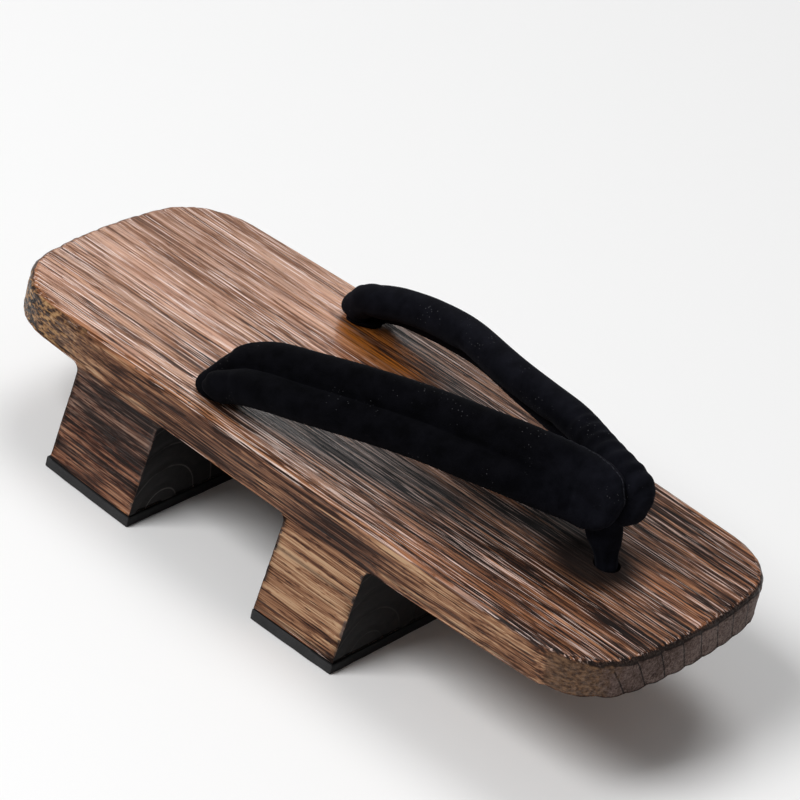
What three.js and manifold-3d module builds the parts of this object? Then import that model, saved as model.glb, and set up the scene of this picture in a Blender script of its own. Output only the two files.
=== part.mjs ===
// Two-tooth geta sandal, for either foot. Millimetres, +Z up, +Y towards the toe, origin on the floor
// under the middle of the sandal. The wood is carved from one block: a flat board with a heel tooth and a
// front tooth. Rubber pads sit under the teeth. The straps and the thong are padded cloth, pulled through
// three holes in the board and knotted underneath.
import * as THREE from 'three';
import { mergeVertices } from 'three/addons/utils/BufferGeometryUtils.js';
import Module from 'manifold-3d';

// ---------------------------------------------------------------- driving dimensions
const GAP = 0.3; // between neighbours that touch in the real object
const RAD = Math.PI / 180;

// Plan of the board: tangent arcs, the same on both sides of the middle line.
const LENGTH = 265;
const HALF_WIDTH = 54;
const WIDEST_Y = 16.3;
const SIDE_RADIUS = 1940;
const HEEL_END_RADIUS = 202.8;
const TOE_END_RADIUS = 222.2;
const HEEL_CORNER_RADIUS = 26.5;
const TOE_CORNER_RADIUS = 25.2;

// Heights over the floor.
const BOARD_TOP = 52.6;
const BOARD_BOTTOM = 38.95;
const PAD_TOP = 4.1;

const TOP_EDGE_RADIUS = 2.8;
const ROOT_FILLET = 3; // between a tooth and the underside of the board
const FLARE = 5.1; // how far each side of a tooth leans out at the bottom

// A tooth from its heel-side face to its toe-side face, and how far its pad stands out past them.
const TEETH = [
  { name: 'heel', from: -88.3, to: -50.1, padBack: 1.2, padFront: 0.3 },
  { name: 'front', from: 7.0, to: 41.4, padBack: 0.3, padFront: 0.3 },
];

// Holes through the board and the cords in them.
const HOLE_RADIUS = 4.5;
const REAR_HOLE = { x: 38.5, y: -42.2 };
const FRONT_HOLE = { x: 0, y: 93 };
const CORD_RADIUS = 3.2;
const KNOT = { across: 6.3, deep: 4.4 }; // semi-axes of a knot
const KNOT_SHIFT = 1.2; // a knot is pulled a little towards the toe

// One strap from its rear hole to the nose. x is out from the middle line, z is over the board, tilt is the
// lean of the band's face in degrees from facing up to facing out, and half and thick are half its width
// and half its thickness.
const STRAP = [
  { x: 38.5, y: -42.2, z: -0.5, tilt: 10, half: 6.0, thick: 5.0 },
  { x: 38.5, y: -42.3, z: 3.5, tilt: 14, half: 9.0, thick: 5.5 },
  { x: 38.0, y: -39.0, z: 7.5, tilt: 20, half: 10.5, thick: 5.7 },
  { x: 36.5, y: -33.0, z: 11.5, tilt: 28, half: 11.8, thick: 5.7 },
  { x: 36.0, y: -24.0, z: 15.0, tilt: 35, half: 12.0, thick: 5.7 },
  { x: 34.5, y: -10.0, z: 18.5, tilt: 40, half: 12.0, thick: 5.7 },
  { x: 30.5, y: 8.0, z: 22.0, tilt: 45, half: 12.0, thick: 5.7 },
  { x: 24.0, y: 28.0, z: 24.0, tilt: 45, half: 12.0, thick: 5.7 },
  { x: 19.0, y: 48.0, z: 25.5, tilt: 50, half: 12.0, thick: 5.7 },
  { x: 13.5, y: 67.0, z: 26.5, tilt: 60, half: 12.0, thick: 5.7 },
  { x: 7.0, y: 83.0, z: 26.5, tilt: 75, half: 12.0, thick: 5.8 },
  { x: 5.0, y: 91.0, z: 25.5, tilt: 82, half: 11.8, thick: 5.5 },
  { x: 4.5, y: 95.4, z: 24.5, tilt: 86, half: 9.8, thick: 4.8 },
  { x: 4.0, y: 97.6, z: 24.0, tilt: 88, half: 6.4, thick: 3.2 },
];
const STRAP_SECTIONS = 34;
const SECTION_POINTS = 20;
const GROOVE_DEPTH = 0.3; // of the half thickness, along the middle of both faces
const GROOVE_REACH = 0.5; // of the half width
const SECTION_SQUARENESS = 0.75;

// The thong from under the nose down through the board, as level round sections. It leans back.
const THONG = [
  { y: 87.4, z: 24, radius: 5.6 },
  { y: 88.6, z: 13, radius: 5.8 },
  { y: 90.4, z: 7, radius: 5.4 },
  { y: 92.2, z: 3, radius: 4.2 },
  { y: FRONT_HOLE.y, z: 0.5, radius: CORD_RADIUS },
  { y: FRONT_HOLE.y, z: -14.5, radius: CORD_RADIUS },
];
const THONG_SIDES = 20;

// ---------------------------------------------------------------- solids
const manifold = await Module();
manifold.setup();

function toManifold(geometry) {
  const bare = geometry.index ? geometry.toNonIndexed() : geometry.clone();
  bare.deleteAttribute('normal');
  bare.deleteAttribute('uv');
  const merged = mergeVertices(bare, 1e-5);
  return new manifold.Manifold(new manifold.Mesh({
    numProp: 3,
    vertProperties: new Float32Array(merged.attributes.position.array),
    triVerts: new Uint32Array(merged.index.array),
  }));
}

function toMesh(name, solid, look) {
  const data = solid.getMesh();
  const geometry = new THREE.BufferGeometry();
  geometry.setAttribute('position', new THREE.BufferAttribute(data.vertProperties, 3));
  geometry.setIndex(new THREE.BufferAttribute(data.triVerts, 1));
  geometry.computeVertexNormals();
  const mesh = new THREE.Mesh(geometry, new THREE.MeshStandardMaterial(look));
  mesh.name = name;
  return mesh;
}

// A closed solid through rings of equally many points, the first and the last ring closed flat.
function loft(rings) {
  const count = rings[0].length;
  const points = rings.flat();
  const faces = [];
  for (let r = 0; r + 1 < rings.length; r++) {
    for (let i = 0; i < count; i++) {
      const a = r * count + i;
      const b = r * count + ((i + 1) % count);
      faces.push(a, b, b + count, a, b + count, a + count);
    }
  }
  const last = (rings.length - 1) * count;
  for (let i = 1; i + 1 < count; i++) {
    faces.push(0, i + 1, i, last, last + i, last + i + 1);
  }
  const geometry = new THREE.BufferGeometry().setFromPoints(points);
  geometry.setIndex(faces);
  return toManifold(geometry);
}

function cylinder(radius, from, to, place) {
  const geometry = new THREE.CylinderGeometry(radius, radius, to - from, 24);
  geometry.rotateX(Math.PI / 2);
  geometry.translate(place.x, place.y, (from + to) / 2);
  return toManifold(geometry);
}

function box(from, to) {
  const size = new THREE.Vector3().subVectors(to, from);
  const middle = new THREE.Vector3().addVectors(from, to).multiplyScalar(0.5);
  const geometry = new THREE.BoxGeometry(size.x, size.y, size.z);
  geometry.translate(middle.x, middle.y, middle.z);
  return toManifold(geometry);
}

// ---------------------------------------------------------------- plan of the board
// Centre of the corner arc that touches an end arc and the side arc from inside, by the two distances.
function cornerCentre(endCentreY, endRadius, cornerRadius, end) {
  const side = new THREE.Vector2(HALF_WIDTH - SIDE_RADIUS, WIDEST_Y);
  const middle = new THREE.Vector2(0, endCentreY);
  const fromMiddle = endRadius - cornerRadius;
  const fromSide = SIDE_RADIUS - cornerRadius;
  const between = new THREE.Vector2().subVectors(side, middle);
  const apart = between.length();
  const along = (fromMiddle ** 2 - fromSide ** 2 + apart ** 2) / (2 * apart);
  const across = Math.sqrt(fromMiddle ** 2 - along ** 2);
  const unit = between.divideScalar(apart);
  const normal = new THREE.Vector2(-unit.y, unit.x);
  const foot = middle.addScaledVector(unit, along);
  const turn = Math.sign(normal.y) * end;
  return foot.addScaledVector(normal, turn * across);
}

function arc(centre, radius, from, to, steps) {
  const points = [];
  for (let i = 0; i < steps; i++) {
    const angle = from + ((to - from) * i) / steps;
    points.push(new THREE.Vector2(centre.x + radius * Math.cos(angle), centre.y + radius * Math.sin(angle)));
  }
  return points;
}

// The outline grown outwards by a distance, counter-clockwise from the middle of the heel.
function outline(grow) {
  const heelEnd = new THREE.Vector2(0, HEEL_END_RADIUS - LENGTH / 2);
  const toeEnd = new THREE.Vector2(0, LENGTH / 2 - TOE_END_RADIUS);
  const side = new THREE.Vector2(HALF_WIDTH - SIDE_RADIUS, WIDEST_Y);
  const heelCorner = cornerCentre(heelEnd.y, HEEL_END_RADIUS, HEEL_CORNER_RADIUS, -1);
  const toeCorner = cornerCentre(toeEnd.y, TOE_END_RADIUS, TOE_CORNER_RADIUS, 1);
  const angle = (from, to) => Math.atan2(to.y - from.y, to.x - from.x);
  const heelTurn = angle(heelEnd, heelCorner);
  const heelSide = angle(side, heelCorner);
  const toeSide = angle(side, toeCorner);
  const toeTurn = angle(toeEnd, toeCorner);
  const right = [
    ...arc(heelEnd, HEEL_END_RADIUS + grow, -Math.PI / 2, heelTurn, 5),
    ...arc(heelCorner, HEEL_CORNER_RADIUS + grow, heelTurn, heelSide, 8),
    ...arc(side, SIDE_RADIUS + grow, heelSide, toeSide, 10),
    ...arc(toeCorner, TOE_CORNER_RADIUS + grow, toeSide, toeTurn, 8),
    ...arc(toeEnd, TOE_END_RADIUS + grow, toeTurn, Math.PI / 2, 5),
    new THREE.Vector2(0, LENGTH / 2 + grow),
  ];
  const left = right.slice(1, -1).reverse().map((p) => new THREE.Vector2(-p.x, p.y));
  return [...right, ...left];
}

const ring = (grow, z) => outline(grow).map((p) => new THREE.Vector3(p.x, p.y, z));

// ---------------------------------------------------------------- wood
// What is cut away under the board between two heights, with round roots against the board.
function cutBelow(from, to, roundFrom, roundTo) {
  const r = ROOT_FILLET;
  const shape = new THREE.Shape();
  shape.moveTo(from, 0);
  shape.lineTo(to, 0);
  if (roundTo) {
    shape.lineTo(to, BOARD_BOTTOM - r);
    shape.absarc(to - r, BOARD_BOTTOM - r, r, 0, Math.PI / 2, false);
  } else {
    shape.lineTo(to, BOARD_BOTTOM);
  }
  if (roundFrom) {
    shape.lineTo(from + r, BOARD_BOTTOM);
    shape.absarc(from + r, BOARD_BOTTOM - r, r, Math.PI / 2, Math.PI, false);
  } else {
    shape.lineTo(from, BOARD_BOTTOM);
  }
  const width = 4 * HALF_WIDTH;
  const geometry = new THREE.ExtrudeGeometry(shape, { depth: width, bevelEnabled: false, curveSegments: 4 });
  // The shape's x runs along +Y and its y runs up.
  geometry.applyMatrix4(new THREE.Matrix4().makeBasis(
    new THREE.Vector3(0, 1, 0),
    new THREE.Vector3(0, 0, 1),
    new THREE.Vector3(1, 0, 0),
  ));
  geometry.translate(-width / 2, 0, 0);
  return toManifold(geometry);
}

function woodBody() {
  const bottom = PAD_TOP + GAP / 2;
  const rings = [ring(FLARE, bottom), ring(0, BOARD_BOTTOM)];
  for (const angle of [0, 22.5, 45, 67.5, 90]) {
    const inset = TOP_EDGE_RADIUS * (1 - Math.cos(angle * RAD));
    rings.push(ring(-inset, BOARD_TOP - TOP_EDGE_RADIUS * (1 - Math.sin(angle * RAD))));
  }
  const [heel, front] = TEETH;
  const beyond = LENGTH;
  let body = loft(rings)
    .subtract(cutBelow(-beyond, heel.from, false, true))
    .subtract(cutBelow(heel.to, front.from, true, true))
    .subtract(cutBelow(front.to, beyond, true, false));
  const holes = [REAR_HOLE, { x: -REAR_HOLE.x, y: REAR_HOLE.y }, FRONT_HOLE];
  for (const hole of holes) {
    body = body.subtract(cylinder(HOLE_RADIUS, BOARD_BOTTOM - 5, BOARD_TOP + 5, hole));
  }
  return body;
}

// ---------------------------------------------------------------- rubber pads
function pad(tooth) {
  const slab = loft([ring(FLARE + 0.3, 0), ring(FLARE + 0.3, PAD_TOP - GAP / 2)]);
  const reach = 2 * HALF_WIDTH;
  return slab.intersect(box(
    new THREE.Vector3(-reach, tooth.from - tooth.padBack, -1),
    new THREE.Vector3(reach, tooth.to + tooth.padFront, PAD_TOP + 1),
  ));
}

// ---------------------------------------------------------------- straps and thong
// Smooth value of a table's column, with t from 0 at the first row to 1 at the last.
function column(table, name, t) {
  const at = t * (table.length - 1);
  const i = Math.min(Math.floor(at), table.length - 2);
  const value = (k) => table[Math.min(Math.max(k, 0), table.length - 1)][name];
  const f = at - i;
  const [a, b, c, d] = [value(i - 1), value(i), value(i + 1), value(i + 2)];
  return b + 0.5 * f * (c - a + f * (2 * a - 5 * b + 4 * c - d + f * (3 * (b - c) + d - a)));
}

// One strap's band: a row of padded sections, each square to the strap's run. side is 1 for the right.
function band(side, grow) {
  const rings = [];
  for (let s = 0; s < STRAP_SECTIONS; s++) {
    const t = s / (STRAP_SECTIONS - 1);
    const place = (u) => new THREE.Vector3(
      column(STRAP, 'x', u),
      column(STRAP, 'y', u),
      BOARD_TOP + column(STRAP, 'z', u),
    );
    const run = place(Math.min(t + 0.01, 1)).sub(place(Math.max(t - 0.01, 0))).normalize();
    const tilt = column(STRAP, 'tilt', t) * RAD;
    const face = new THREE.Vector3(Math.sin(tilt), 0, Math.cos(tilt));
    face.addScaledVector(run, -face.dot(run)).normalize();
    const across = new THREE.Vector3().crossVectors(run, face);
    const half = column(STRAP, 'half', t) + grow;
    const thick = column(STRAP, 'thick', t) + grow;
    const points = [];
    for (let i = 0; i < SECTION_POINTS; i++) {
      const angle = (2 * Math.PI * i) / SECTION_POINTS;
      const u = Math.cos(angle);
      const groove = 1 - GROOVE_DEPTH * Math.max(0, 1 - (u / GROOVE_REACH) ** 2);
      const v = Math.sign(Math.sin(angle)) * Math.abs(Math.sin(angle)) ** SECTION_SQUARENESS * groove;
      const point = place(t).addScaledVector(across, half * u).addScaledVector(face, thick * v);
      points.push(new THREE.Vector3(side * point.x, point.y, point.z));
    }
    rings.push(side > 0 ? points.reverse() : points);
  }
  return loft(rings);
}

// The cord of a strap or the thong from just over the board down to its knot.
function tail(hole) {
  const knotZ = BOARD_BOTTOM - GAP - KNOT.deep;
  const cord = cylinder(CORD_RADIUS, knotZ, BOARD_TOP + 2.5, hole);
  const geometry = new THREE.SphereGeometry(1, 20, 12);
  geometry.rotateX(Math.PI / 2);
  geometry.scale(KNOT.across, KNOT.across, KNOT.deep);
  geometry.translate(hole.x, hole.y + KNOT_SHIFT, knotZ);
  return cord.add(toManifold(geometry));
}

function straps(grow) {
  const board = box(
    new THREE.Vector3(-LENGTH, -LENGTH, 0),
    new THREE.Vector3(LENGTH, LENGTH, BOARD_TOP + GAP),
  );
  let both = band(1, grow).add(band(-1, grow)).subtract(board);
  for (const side of [1, -1]) {
    both = both.add(tail({ x: side * REAR_HOLE.x, y: REAR_HOLE.y }));
  }
  return both;
}

function thong() {
  const rings = [...THONG].reverse().map((row) => {
    const circle = [];
    for (let i = 0; i < THONG_SIDES; i++) {
      const angle = (2 * Math.PI * i) / THONG_SIDES;
      const x = FRONT_HOLE.x + row.radius * Math.cos(angle);
      const y = row.y + row.radius * Math.sin(angle);
      circle.push(new THREE.Vector3(x, y, BOARD_TOP + row.z));
    }
    return circle;
  });
  return loft(rings).add(tail(FRONT_HOLE)).subtract(straps(GAP));
}

// ---------------------------------------------------------------- assembly
const WOOD = { color: 0xa3836b, roughness: 0.5, metalness: 0 };
const RUBBER = { color: 0x4a4b4e, roughness: 0.8, metalness: 0 };
const VELVET = { color: 0x17171b, roughness: 0.95, metalness: 0 };

const geta = new THREE.Group();
geta.add(toMesh('wood_body', woodBody(), WOOD));
for (const tooth of TEETH) {
  geta.add(toMesh(`pad_${tooth.name}`, pad(tooth), RUBBER));
}
geta.add(toMesh('straps', straps(0), VELVET));
geta.add(toMesh('thong', thong(), VELVET));

export default geta;
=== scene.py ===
# %% [markdown]
# # A geta sandal: brushed wood, rubber pads and velvet straps
# This lesson dresses a finished CAD model of a two-tooth geta. The CAD holds every size. Here the wood gets
# its brushed relief and grain, the rubber its cut faces, and the straps their padding, creases and nap. The
# straps' run and the holes' places aren't in it as numbers, so they are repeated here in the CAD's own sizes.

# %% Load the frame
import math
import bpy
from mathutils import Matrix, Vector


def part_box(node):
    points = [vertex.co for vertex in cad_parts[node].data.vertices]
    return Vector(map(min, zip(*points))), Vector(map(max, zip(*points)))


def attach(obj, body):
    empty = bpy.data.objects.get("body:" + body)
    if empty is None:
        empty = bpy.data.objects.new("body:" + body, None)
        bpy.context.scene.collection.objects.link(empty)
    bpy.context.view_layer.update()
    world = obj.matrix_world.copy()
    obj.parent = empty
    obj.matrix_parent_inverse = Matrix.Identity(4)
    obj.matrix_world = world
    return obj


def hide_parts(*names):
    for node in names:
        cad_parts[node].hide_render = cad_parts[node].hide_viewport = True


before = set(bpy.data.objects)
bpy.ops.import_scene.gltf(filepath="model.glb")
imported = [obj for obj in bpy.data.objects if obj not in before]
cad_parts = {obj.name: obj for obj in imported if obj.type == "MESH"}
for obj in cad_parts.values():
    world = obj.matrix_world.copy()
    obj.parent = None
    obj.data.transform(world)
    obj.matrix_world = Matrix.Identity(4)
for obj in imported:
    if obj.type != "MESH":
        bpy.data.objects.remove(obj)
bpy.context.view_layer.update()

# %% Tools and the size of the CAD model
from types import SimpleNamespace

import bmesh
import bpy
import numpy as np
from mathutils import Matrix, Vector, noise

MM = 0.001  # the frame is in metres, a maker measures in millimetres

BOARD_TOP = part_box("wood_body")[1].z

# %% [markdown]
# ## The camera
# The sandal stands on its teeth, and the camera looks from the toe side, above and to the wearer's right,
# and is rolled. A long lens keeps the two long edges of the board nearly parallel. The camera could be aimed
# with a tracking constraint, but a roll is simpler to read as a turn about the line of sight, so its three
# axes are worked out here and put straight into the camera's matrix.

# %% Camera
AZIMUTH = math.radians(123.3)
ELEVATION = math.radians(32.1)
ROLL = math.radians(14.4)
DISTANCE = 1405 * MM
SLIDE = Vector((14.9, 48.9)) * MM  # of the camera, to its own right and upwards
LENS = 192  # mm, on a sensor 36 mm wide

back = Vector((
    math.sin(AZIMUTH) * math.cos(ELEVATION),
    -math.cos(AZIMUTH) * math.cos(ELEVATION),
    math.sin(ELEVATION),
))
level = Vector((0, 0, 1)).cross(back).normalized()
upright = back.cross(level)
right = math.cos(ROLL) * level + math.sin(ROLL) * upright
up = math.cos(ROLL) * upright - math.sin(ROLL) * level

camera = bpy.data.objects.new("camera", bpy.data.cameras.new("camera"))
bpy.context.scene.collection.objects.link(camera)
camera.data.sensor_width = 36
camera.data.lens = LENS
camera.data.clip_start = 0.05
camera.data.clip_end = 50
place = right * SLIDE.x + up * SLIDE.y + back * DISTANCE
camera.matrix_world = Matrix.Translation(place) @ Matrix((right, up, back)).transposed().to_4x4()
bpy.context.scene.camera = camera
print("camera height over the floor, mm:", round(1000 * place.z))

# %% [markdown]
# ## Floor and light
# The key panel stands high on the wearer's right, so that it lights the near side and throws the straps'
# shadows across the board. A wide panel above the far side picks out the tops of the padded rolls. Varnish
# shows by what it mirrors, so a small third panel stands low behind the heel. It is only there to be
# mirrored, by the board above all, and adds no diffuse light.

# %% Floor
FLOOR_HALF = 6.0  # m
floor_mesh = bpy.data.meshes.new("floor")
corners = [(-FLOOR_HALF, -FLOOR_HALF, 0), (FLOOR_HALF, -FLOOR_HALF, 0),
           (FLOOR_HALF, FLOOR_HALF, 0), (-FLOOR_HALF, FLOOR_HALF, 0)]
floor_mesh.from_pydata(corners, [], [(0, 1, 2, 3)])
floor = bpy.data.objects.new("floor", floor_mesh)
bpy.context.scene.collection.objects.link(floor)
floor_paint = bpy.data.materials.new("pale floor")
floor_paint.use_nodes = True
floor_shader = floor_paint.node_tree.nodes["Principled BSDF"]
floor_shader.inputs["Base Color"].default_value = (0.9, 0.9, 0.9, 1)
floor_shader.inputs["Roughness"].default_value = 0.9
floor_shader.inputs["Specular IOR Level"].default_value = 0.0
floor_mesh.materials.append(floor_paint)

# %% Lights
world = bpy.data.worlds.new("studio")
world.use_nodes = True
world.node_tree.nodes["Background"].inputs["Color"].default_value = (1, 1, 1, 1)
world.node_tree.nodes["Background"].inputs["Strength"].default_value = 0.21
bpy.context.scene.world = world
bpy.context.scene.view_settings.view_transform = "Standard"

# Each panel: where it stands and what it faces, in metres, its width, and its power in watts.
PANELS = [
    {"name": "key panel", "at": (1.50, -0.60, 1.90), "aim": (0, 0, 0), "size": 1.1, "power": 47},
    {"name": "top panel", "at": (-0.90, -0.50, 2.60), "aim": (0, 0, 0), "size": 1.4, "power": 27},
    {"name": "gloss panel", "at": (-0.40, -0.44, 0.34), "aim": (0, -0.08, 0.05), "size": 0.32, "power": 1.7},
]
for panel in PANELS:
    light = bpy.data.objects.new(panel["name"], bpy.data.lights.new(panel["name"], "AREA"))
    bpy.context.scene.collection.objects.link(light)
    light.data.size = panel["size"]
    light.data.energy = panel["power"]
    light.location = panel["at"]
    aim = Vector(panel["aim"]) - Vector(panel["at"])
    light.rotation_euler = aim.to_track_quat("-Z", "Y").to_euler()
    light.visible_diffuse = panel["name"] != "gloss panel"  # that one is only there to be mirrored
print("panels:", [panel["name"] for panel in PANELS])

# %% [markdown]
# ## Small helpers for shader nodes
# A material is a graph of nodes. Writing each node out takes many lines, so one helper adds a node and sets
# or links its sockets, and a few more wrap the sums, mixes and ramps that come up again and again. A node
# group is made once and then placed in each material that needs the effect.

# %% Node helpers
def put(tree, kind, settings=(), **inputs):
    """Adds a node. Keys of inputs are socket names with _ for a space, or s0, s1 for a socket's number."""
    made = tree.nodes.new(kind)
    for name, value in dict(settings).items():
        setattr(made, name, value)
    for name, value in inputs.items():
        numbered = name[0] == "s" and name[1:].isdigit()
        socket = made.inputs[int(name[1:]) if numbered else name.replace("_", " ")]
        if isinstance(value, bpy.types.NodeSocket):
            tree.links.new(value, socket)
        else:
            socket.default_value = value
    return made


def maths(tree, operation, a, b=0.0, clamp=False):
    return put(tree, "ShaderNodeMath", {"operation": operation, "use_clamp": clamp}, s0=a, s1=b).outputs[0]


def plus(tree, a, b, clamp=False):
    return maths(tree, "ADD", a, b, clamp)


def minus(tree, a, b, clamp=False):
    return maths(tree, "SUBTRACT", a, b, clamp)


def times(tree, a, b):
    return maths(tree, "MULTIPLY", a, b)


def vectors(tree, operation, a, b=(0, 0, 0)):
    """A vector from two vectors, or a number where the operation is LENGTH or DISTANCE."""
    made = put(tree, "ShaderNodeVectorMath", {"operation": operation}, s0=a, s1=b)
    return made.outputs["Value" if operation in ("LENGTH", "DISTANCE") else "Vector"]


def step(tree, value, low, high):
    """0 below low, 1 above high, and a smooth rise between them. low may be the larger one, to fall."""
    settings = {"interpolation_type": "SMOOTHSTEP"}
    return put(tree, "ShaderNodeMapRange", settings, s0=value, s1=low, s2=high, s3=0.0, s4=1.0).outputs[0]


def between(tree, value, start, full, fading, end):
    """0 below start, 1 from full to fading, and 0 again above end."""
    return times(tree, step(tree, value, start, full), step(tree, value, end, fading))


def mix(tree, factor, a, b, kind="MIX"):
    settings = {"data_type": "RGBA", "blend_type": kind, "clamp_factor": True}
    return put(tree, "ShaderNodeMix", settings, s0=factor, s6=a, s7=b).outputs[2]


def ramp(tree, value, stops):
    """Colours by position, each stop a position and a linear colour."""
    made = put(tree, "ShaderNodeValToRGB", s0=value)
    elements = made.color_ramp.elements
    while len(elements) < len(stops):
        elements.new(0.5)
    for element, (position, colour) in zip(elements, stops):
        element.position = position
        element.color = (*colour, 1)
    return made.outputs[0]


def noise_at(tree, vector, scale, detail=2.0, roughness=0.5):
    return put(tree, "ShaderNodeTexNoise", {"noise_dimensions": "3D"},
               Vector=vector, Scale=scale, Detail=detail, Roughness=roughness).outputs["Fac"]


def stretched(tree, vector, by):
    return vectors(tree, "MULTIPLY", vector, by)


def new_group(name, inputs, outputs):
    """An empty node group with named float or vector sockets."""
    group = bpy.data.node_groups.new(name, "ShaderNodeTree")
    for title, value in inputs.items():
        kind = "NodeSocketVector" if value is None else "NodeSocketFloat"
        socket = group.interface.new_socket(name=title, in_out="INPUT", socket_type=kind)
        if value is not None:
            socket.default_value = value
    for title in outputs:
        group.interface.new_socket(name=title, in_out="OUTPUT", socket_type="NodeSocketFloat")
    return group, group.nodes.new("NodeGroupInput").outputs, group.nodes.new("NodeGroupOutput").inputs


def use_group(tree, group, **inputs):
    return put(tree, "ShaderNodeGroup", {"node_tree": group}, **inputs).outputs


def new_material(name):
    material = bpy.data.materials.new(name)
    material.use_nodes = True
    tree = material.node_tree
    return material, tree, tree.nodes["Principled BSDF"]

# %% [markdown]
# ## What wood grain is
# A log is a stack of cones. Its fibres run along the trunk, and each year adds a ring: pale, soft wood in
# spring and a thin, dark, hard line in late summer. Cut along the fibres, the rings show as lines, and cut
# across, as arcs. An image of wood wrapped round the block would break at every edge, so the grain is
# worked out in space instead: fibres are noise drawn out along the block, and rings are distances from the
# log's middle line, the pith, which lies outside this block.

# %% Fibres
fibre_group, given, result = new_group(
    "wood fibres",
    {"Vector": None, "Waver": 1.0},
    ["Fine", "Coarse", "Broad", "Ridge", "Dash", "Fleck"],
)
FIBRE_RUN = (1.0, 0.016, 1.0)  # fibres are some sixty times longer than they are wide
DASH_RUN = (1.0, 0.14, 1.0)
BROAD_RUN = (1.0, 0.20, 1.0)
FLECK_RUN = (0.8, 0.40, 1.0)
tree = fibre_group
drawn_out = stretched(tree, given["Vector"], (1.0, 0.35, 1.0))
sway = put(tree, "ShaderNodeTexNoise", Vector=drawn_out, Scale=32.0)
sway = vectors(tree, "SUBTRACT", sway.outputs["Color"], (0.5, 0.5, 0.5))
reach = times(tree, given["Waver"], 2.5 * MM)
sway = put(tree, "ShaderNodeVectorMath", {"operation": "SCALE"}, s0=sway, Scale=reach).outputs[0]
laid = vectors(tree, "ADD", given["Vector"], sway)
shifted = vectors(tree, "ADD", laid, (0.31, 0.07, 0.53))  # so that these don't follow the first three

# Each pattern: what it is laid along, how far it is drawn out, and its noise's scale, detail and roughness.
PATTERNS = {
    "Fine": (laid, FIBRE_RUN, 1700, 3, 0.65),
    "Coarse": (laid, FIBRE_RUN, 480, 3, 0.60),
    "Broad": (laid, BROAD_RUN, 60, 3, 0.55),
    "Ridge": (shifted, FIBRE_RUN, 1900, 2, 0.60),
    "Dash": (shifted, DASH_RUN, 1100, 2, 0.60),
    "Fleck": (shifted, FLECK_RUN, 820, 2, 0.60),
}
for title, (vector, run, scale, detail, roughness) in PATTERNS.items():
    tree.links.new(noise_at(tree, stretched(tree, vector, run), scale, detail, roughness), result[title])
print("fibre patterns:", list(PATTERNS))

# %% Rings
BOARD_PITH = Vector((100, 0, 5)) * MM
TOOTH_PITH = Vector((43, 0, 2)) * MM
RING_SPACING = 8.4 * MM
RING_WAVER = 5.0 * MM

ring_group, given, result = new_group(
    "growth rings",
    {"Vector": None, "Pith": None, "Waver": 1.0, "Line": 0.1},
    ["Line"],
)
tree = ring_group
out = vectors(tree, "SUBTRACT", given["Vector"], given["Pith"])
distance = vectors(tree, "LENGTH", stretched(tree, out, (1, 0, 1)))
bend = noise_at(tree, stretched(tree, given["Vector"], (1.0, 0.22, 1.0)), 30, 1, 0.4)
bend = times(tree, minus(tree, bend, 0.5), times(tree, given["Waver"], RING_WAVER))
phase = maths(tree, "FRACT", maths(tree, "DIVIDE", plus(tree, distance, bend), RING_SPACING))
from_middle = times(tree, maths(tree, "ABSOLUTE", minus(tree, phase, 0.5)), 2.0)
late = minus(tree, 1.0, given["Line"])
tree.links.new(step(tree, from_middle, late, plus(tree, late, 0.02)), result["Line"])
print("ring spacing, mm:", round(RING_SPACING / MM, 1))

# %% Specks
speck_group, given, result = new_group(
    "loose specks",
    {"Vector": None, "Scale": 700.0, "Share": 0.3},
    ["Mask"],
)
tree = speck_group
cells = put(tree, "ShaderNodeTexVoronoi", Vector=given["Vector"], Scale=given["Scale"])
patch = noise_at(tree, given["Vector"], 70, 1, 0.5)
size = times(tree, given["Share"], step(tree, patch, 0.45, 0.7))
inside = maths(tree, "LESS_THAN", cells.outputs["Distance"], size)
tree.links.new(inside, result["Mask"])
print("shared groups:", [group.name for group in bpy.data.node_groups])

# %% [markdown]
# ## The brushed wood
# The block was scorched, brushed with wire and varnished. Scorching turns the soft wood almost black,
# brushing digs it out, and the hard fibres stay as pale ridges that catch the light; their glints are partly
# painted into the colour. So three things follow the same fibres: colour, from black-brown through
# orange-brown to tan; height, for a bump; and roughness. The sides show calmer, golden wood, and the ends
# show cut fibres as dots with ring lines down them. Shade is painted into the top too: under the straps,
# round the thong's hole, in the orange patch by the left rear hole and partly towards the toe. So is a glint
# along the near top edge at the heel.

# %% Places on the body
STRAP_FOOT = 27.5 * MM  # how far out from the middle line a strap passes over the board's middle
STRAP_SLANT = 0.25


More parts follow.
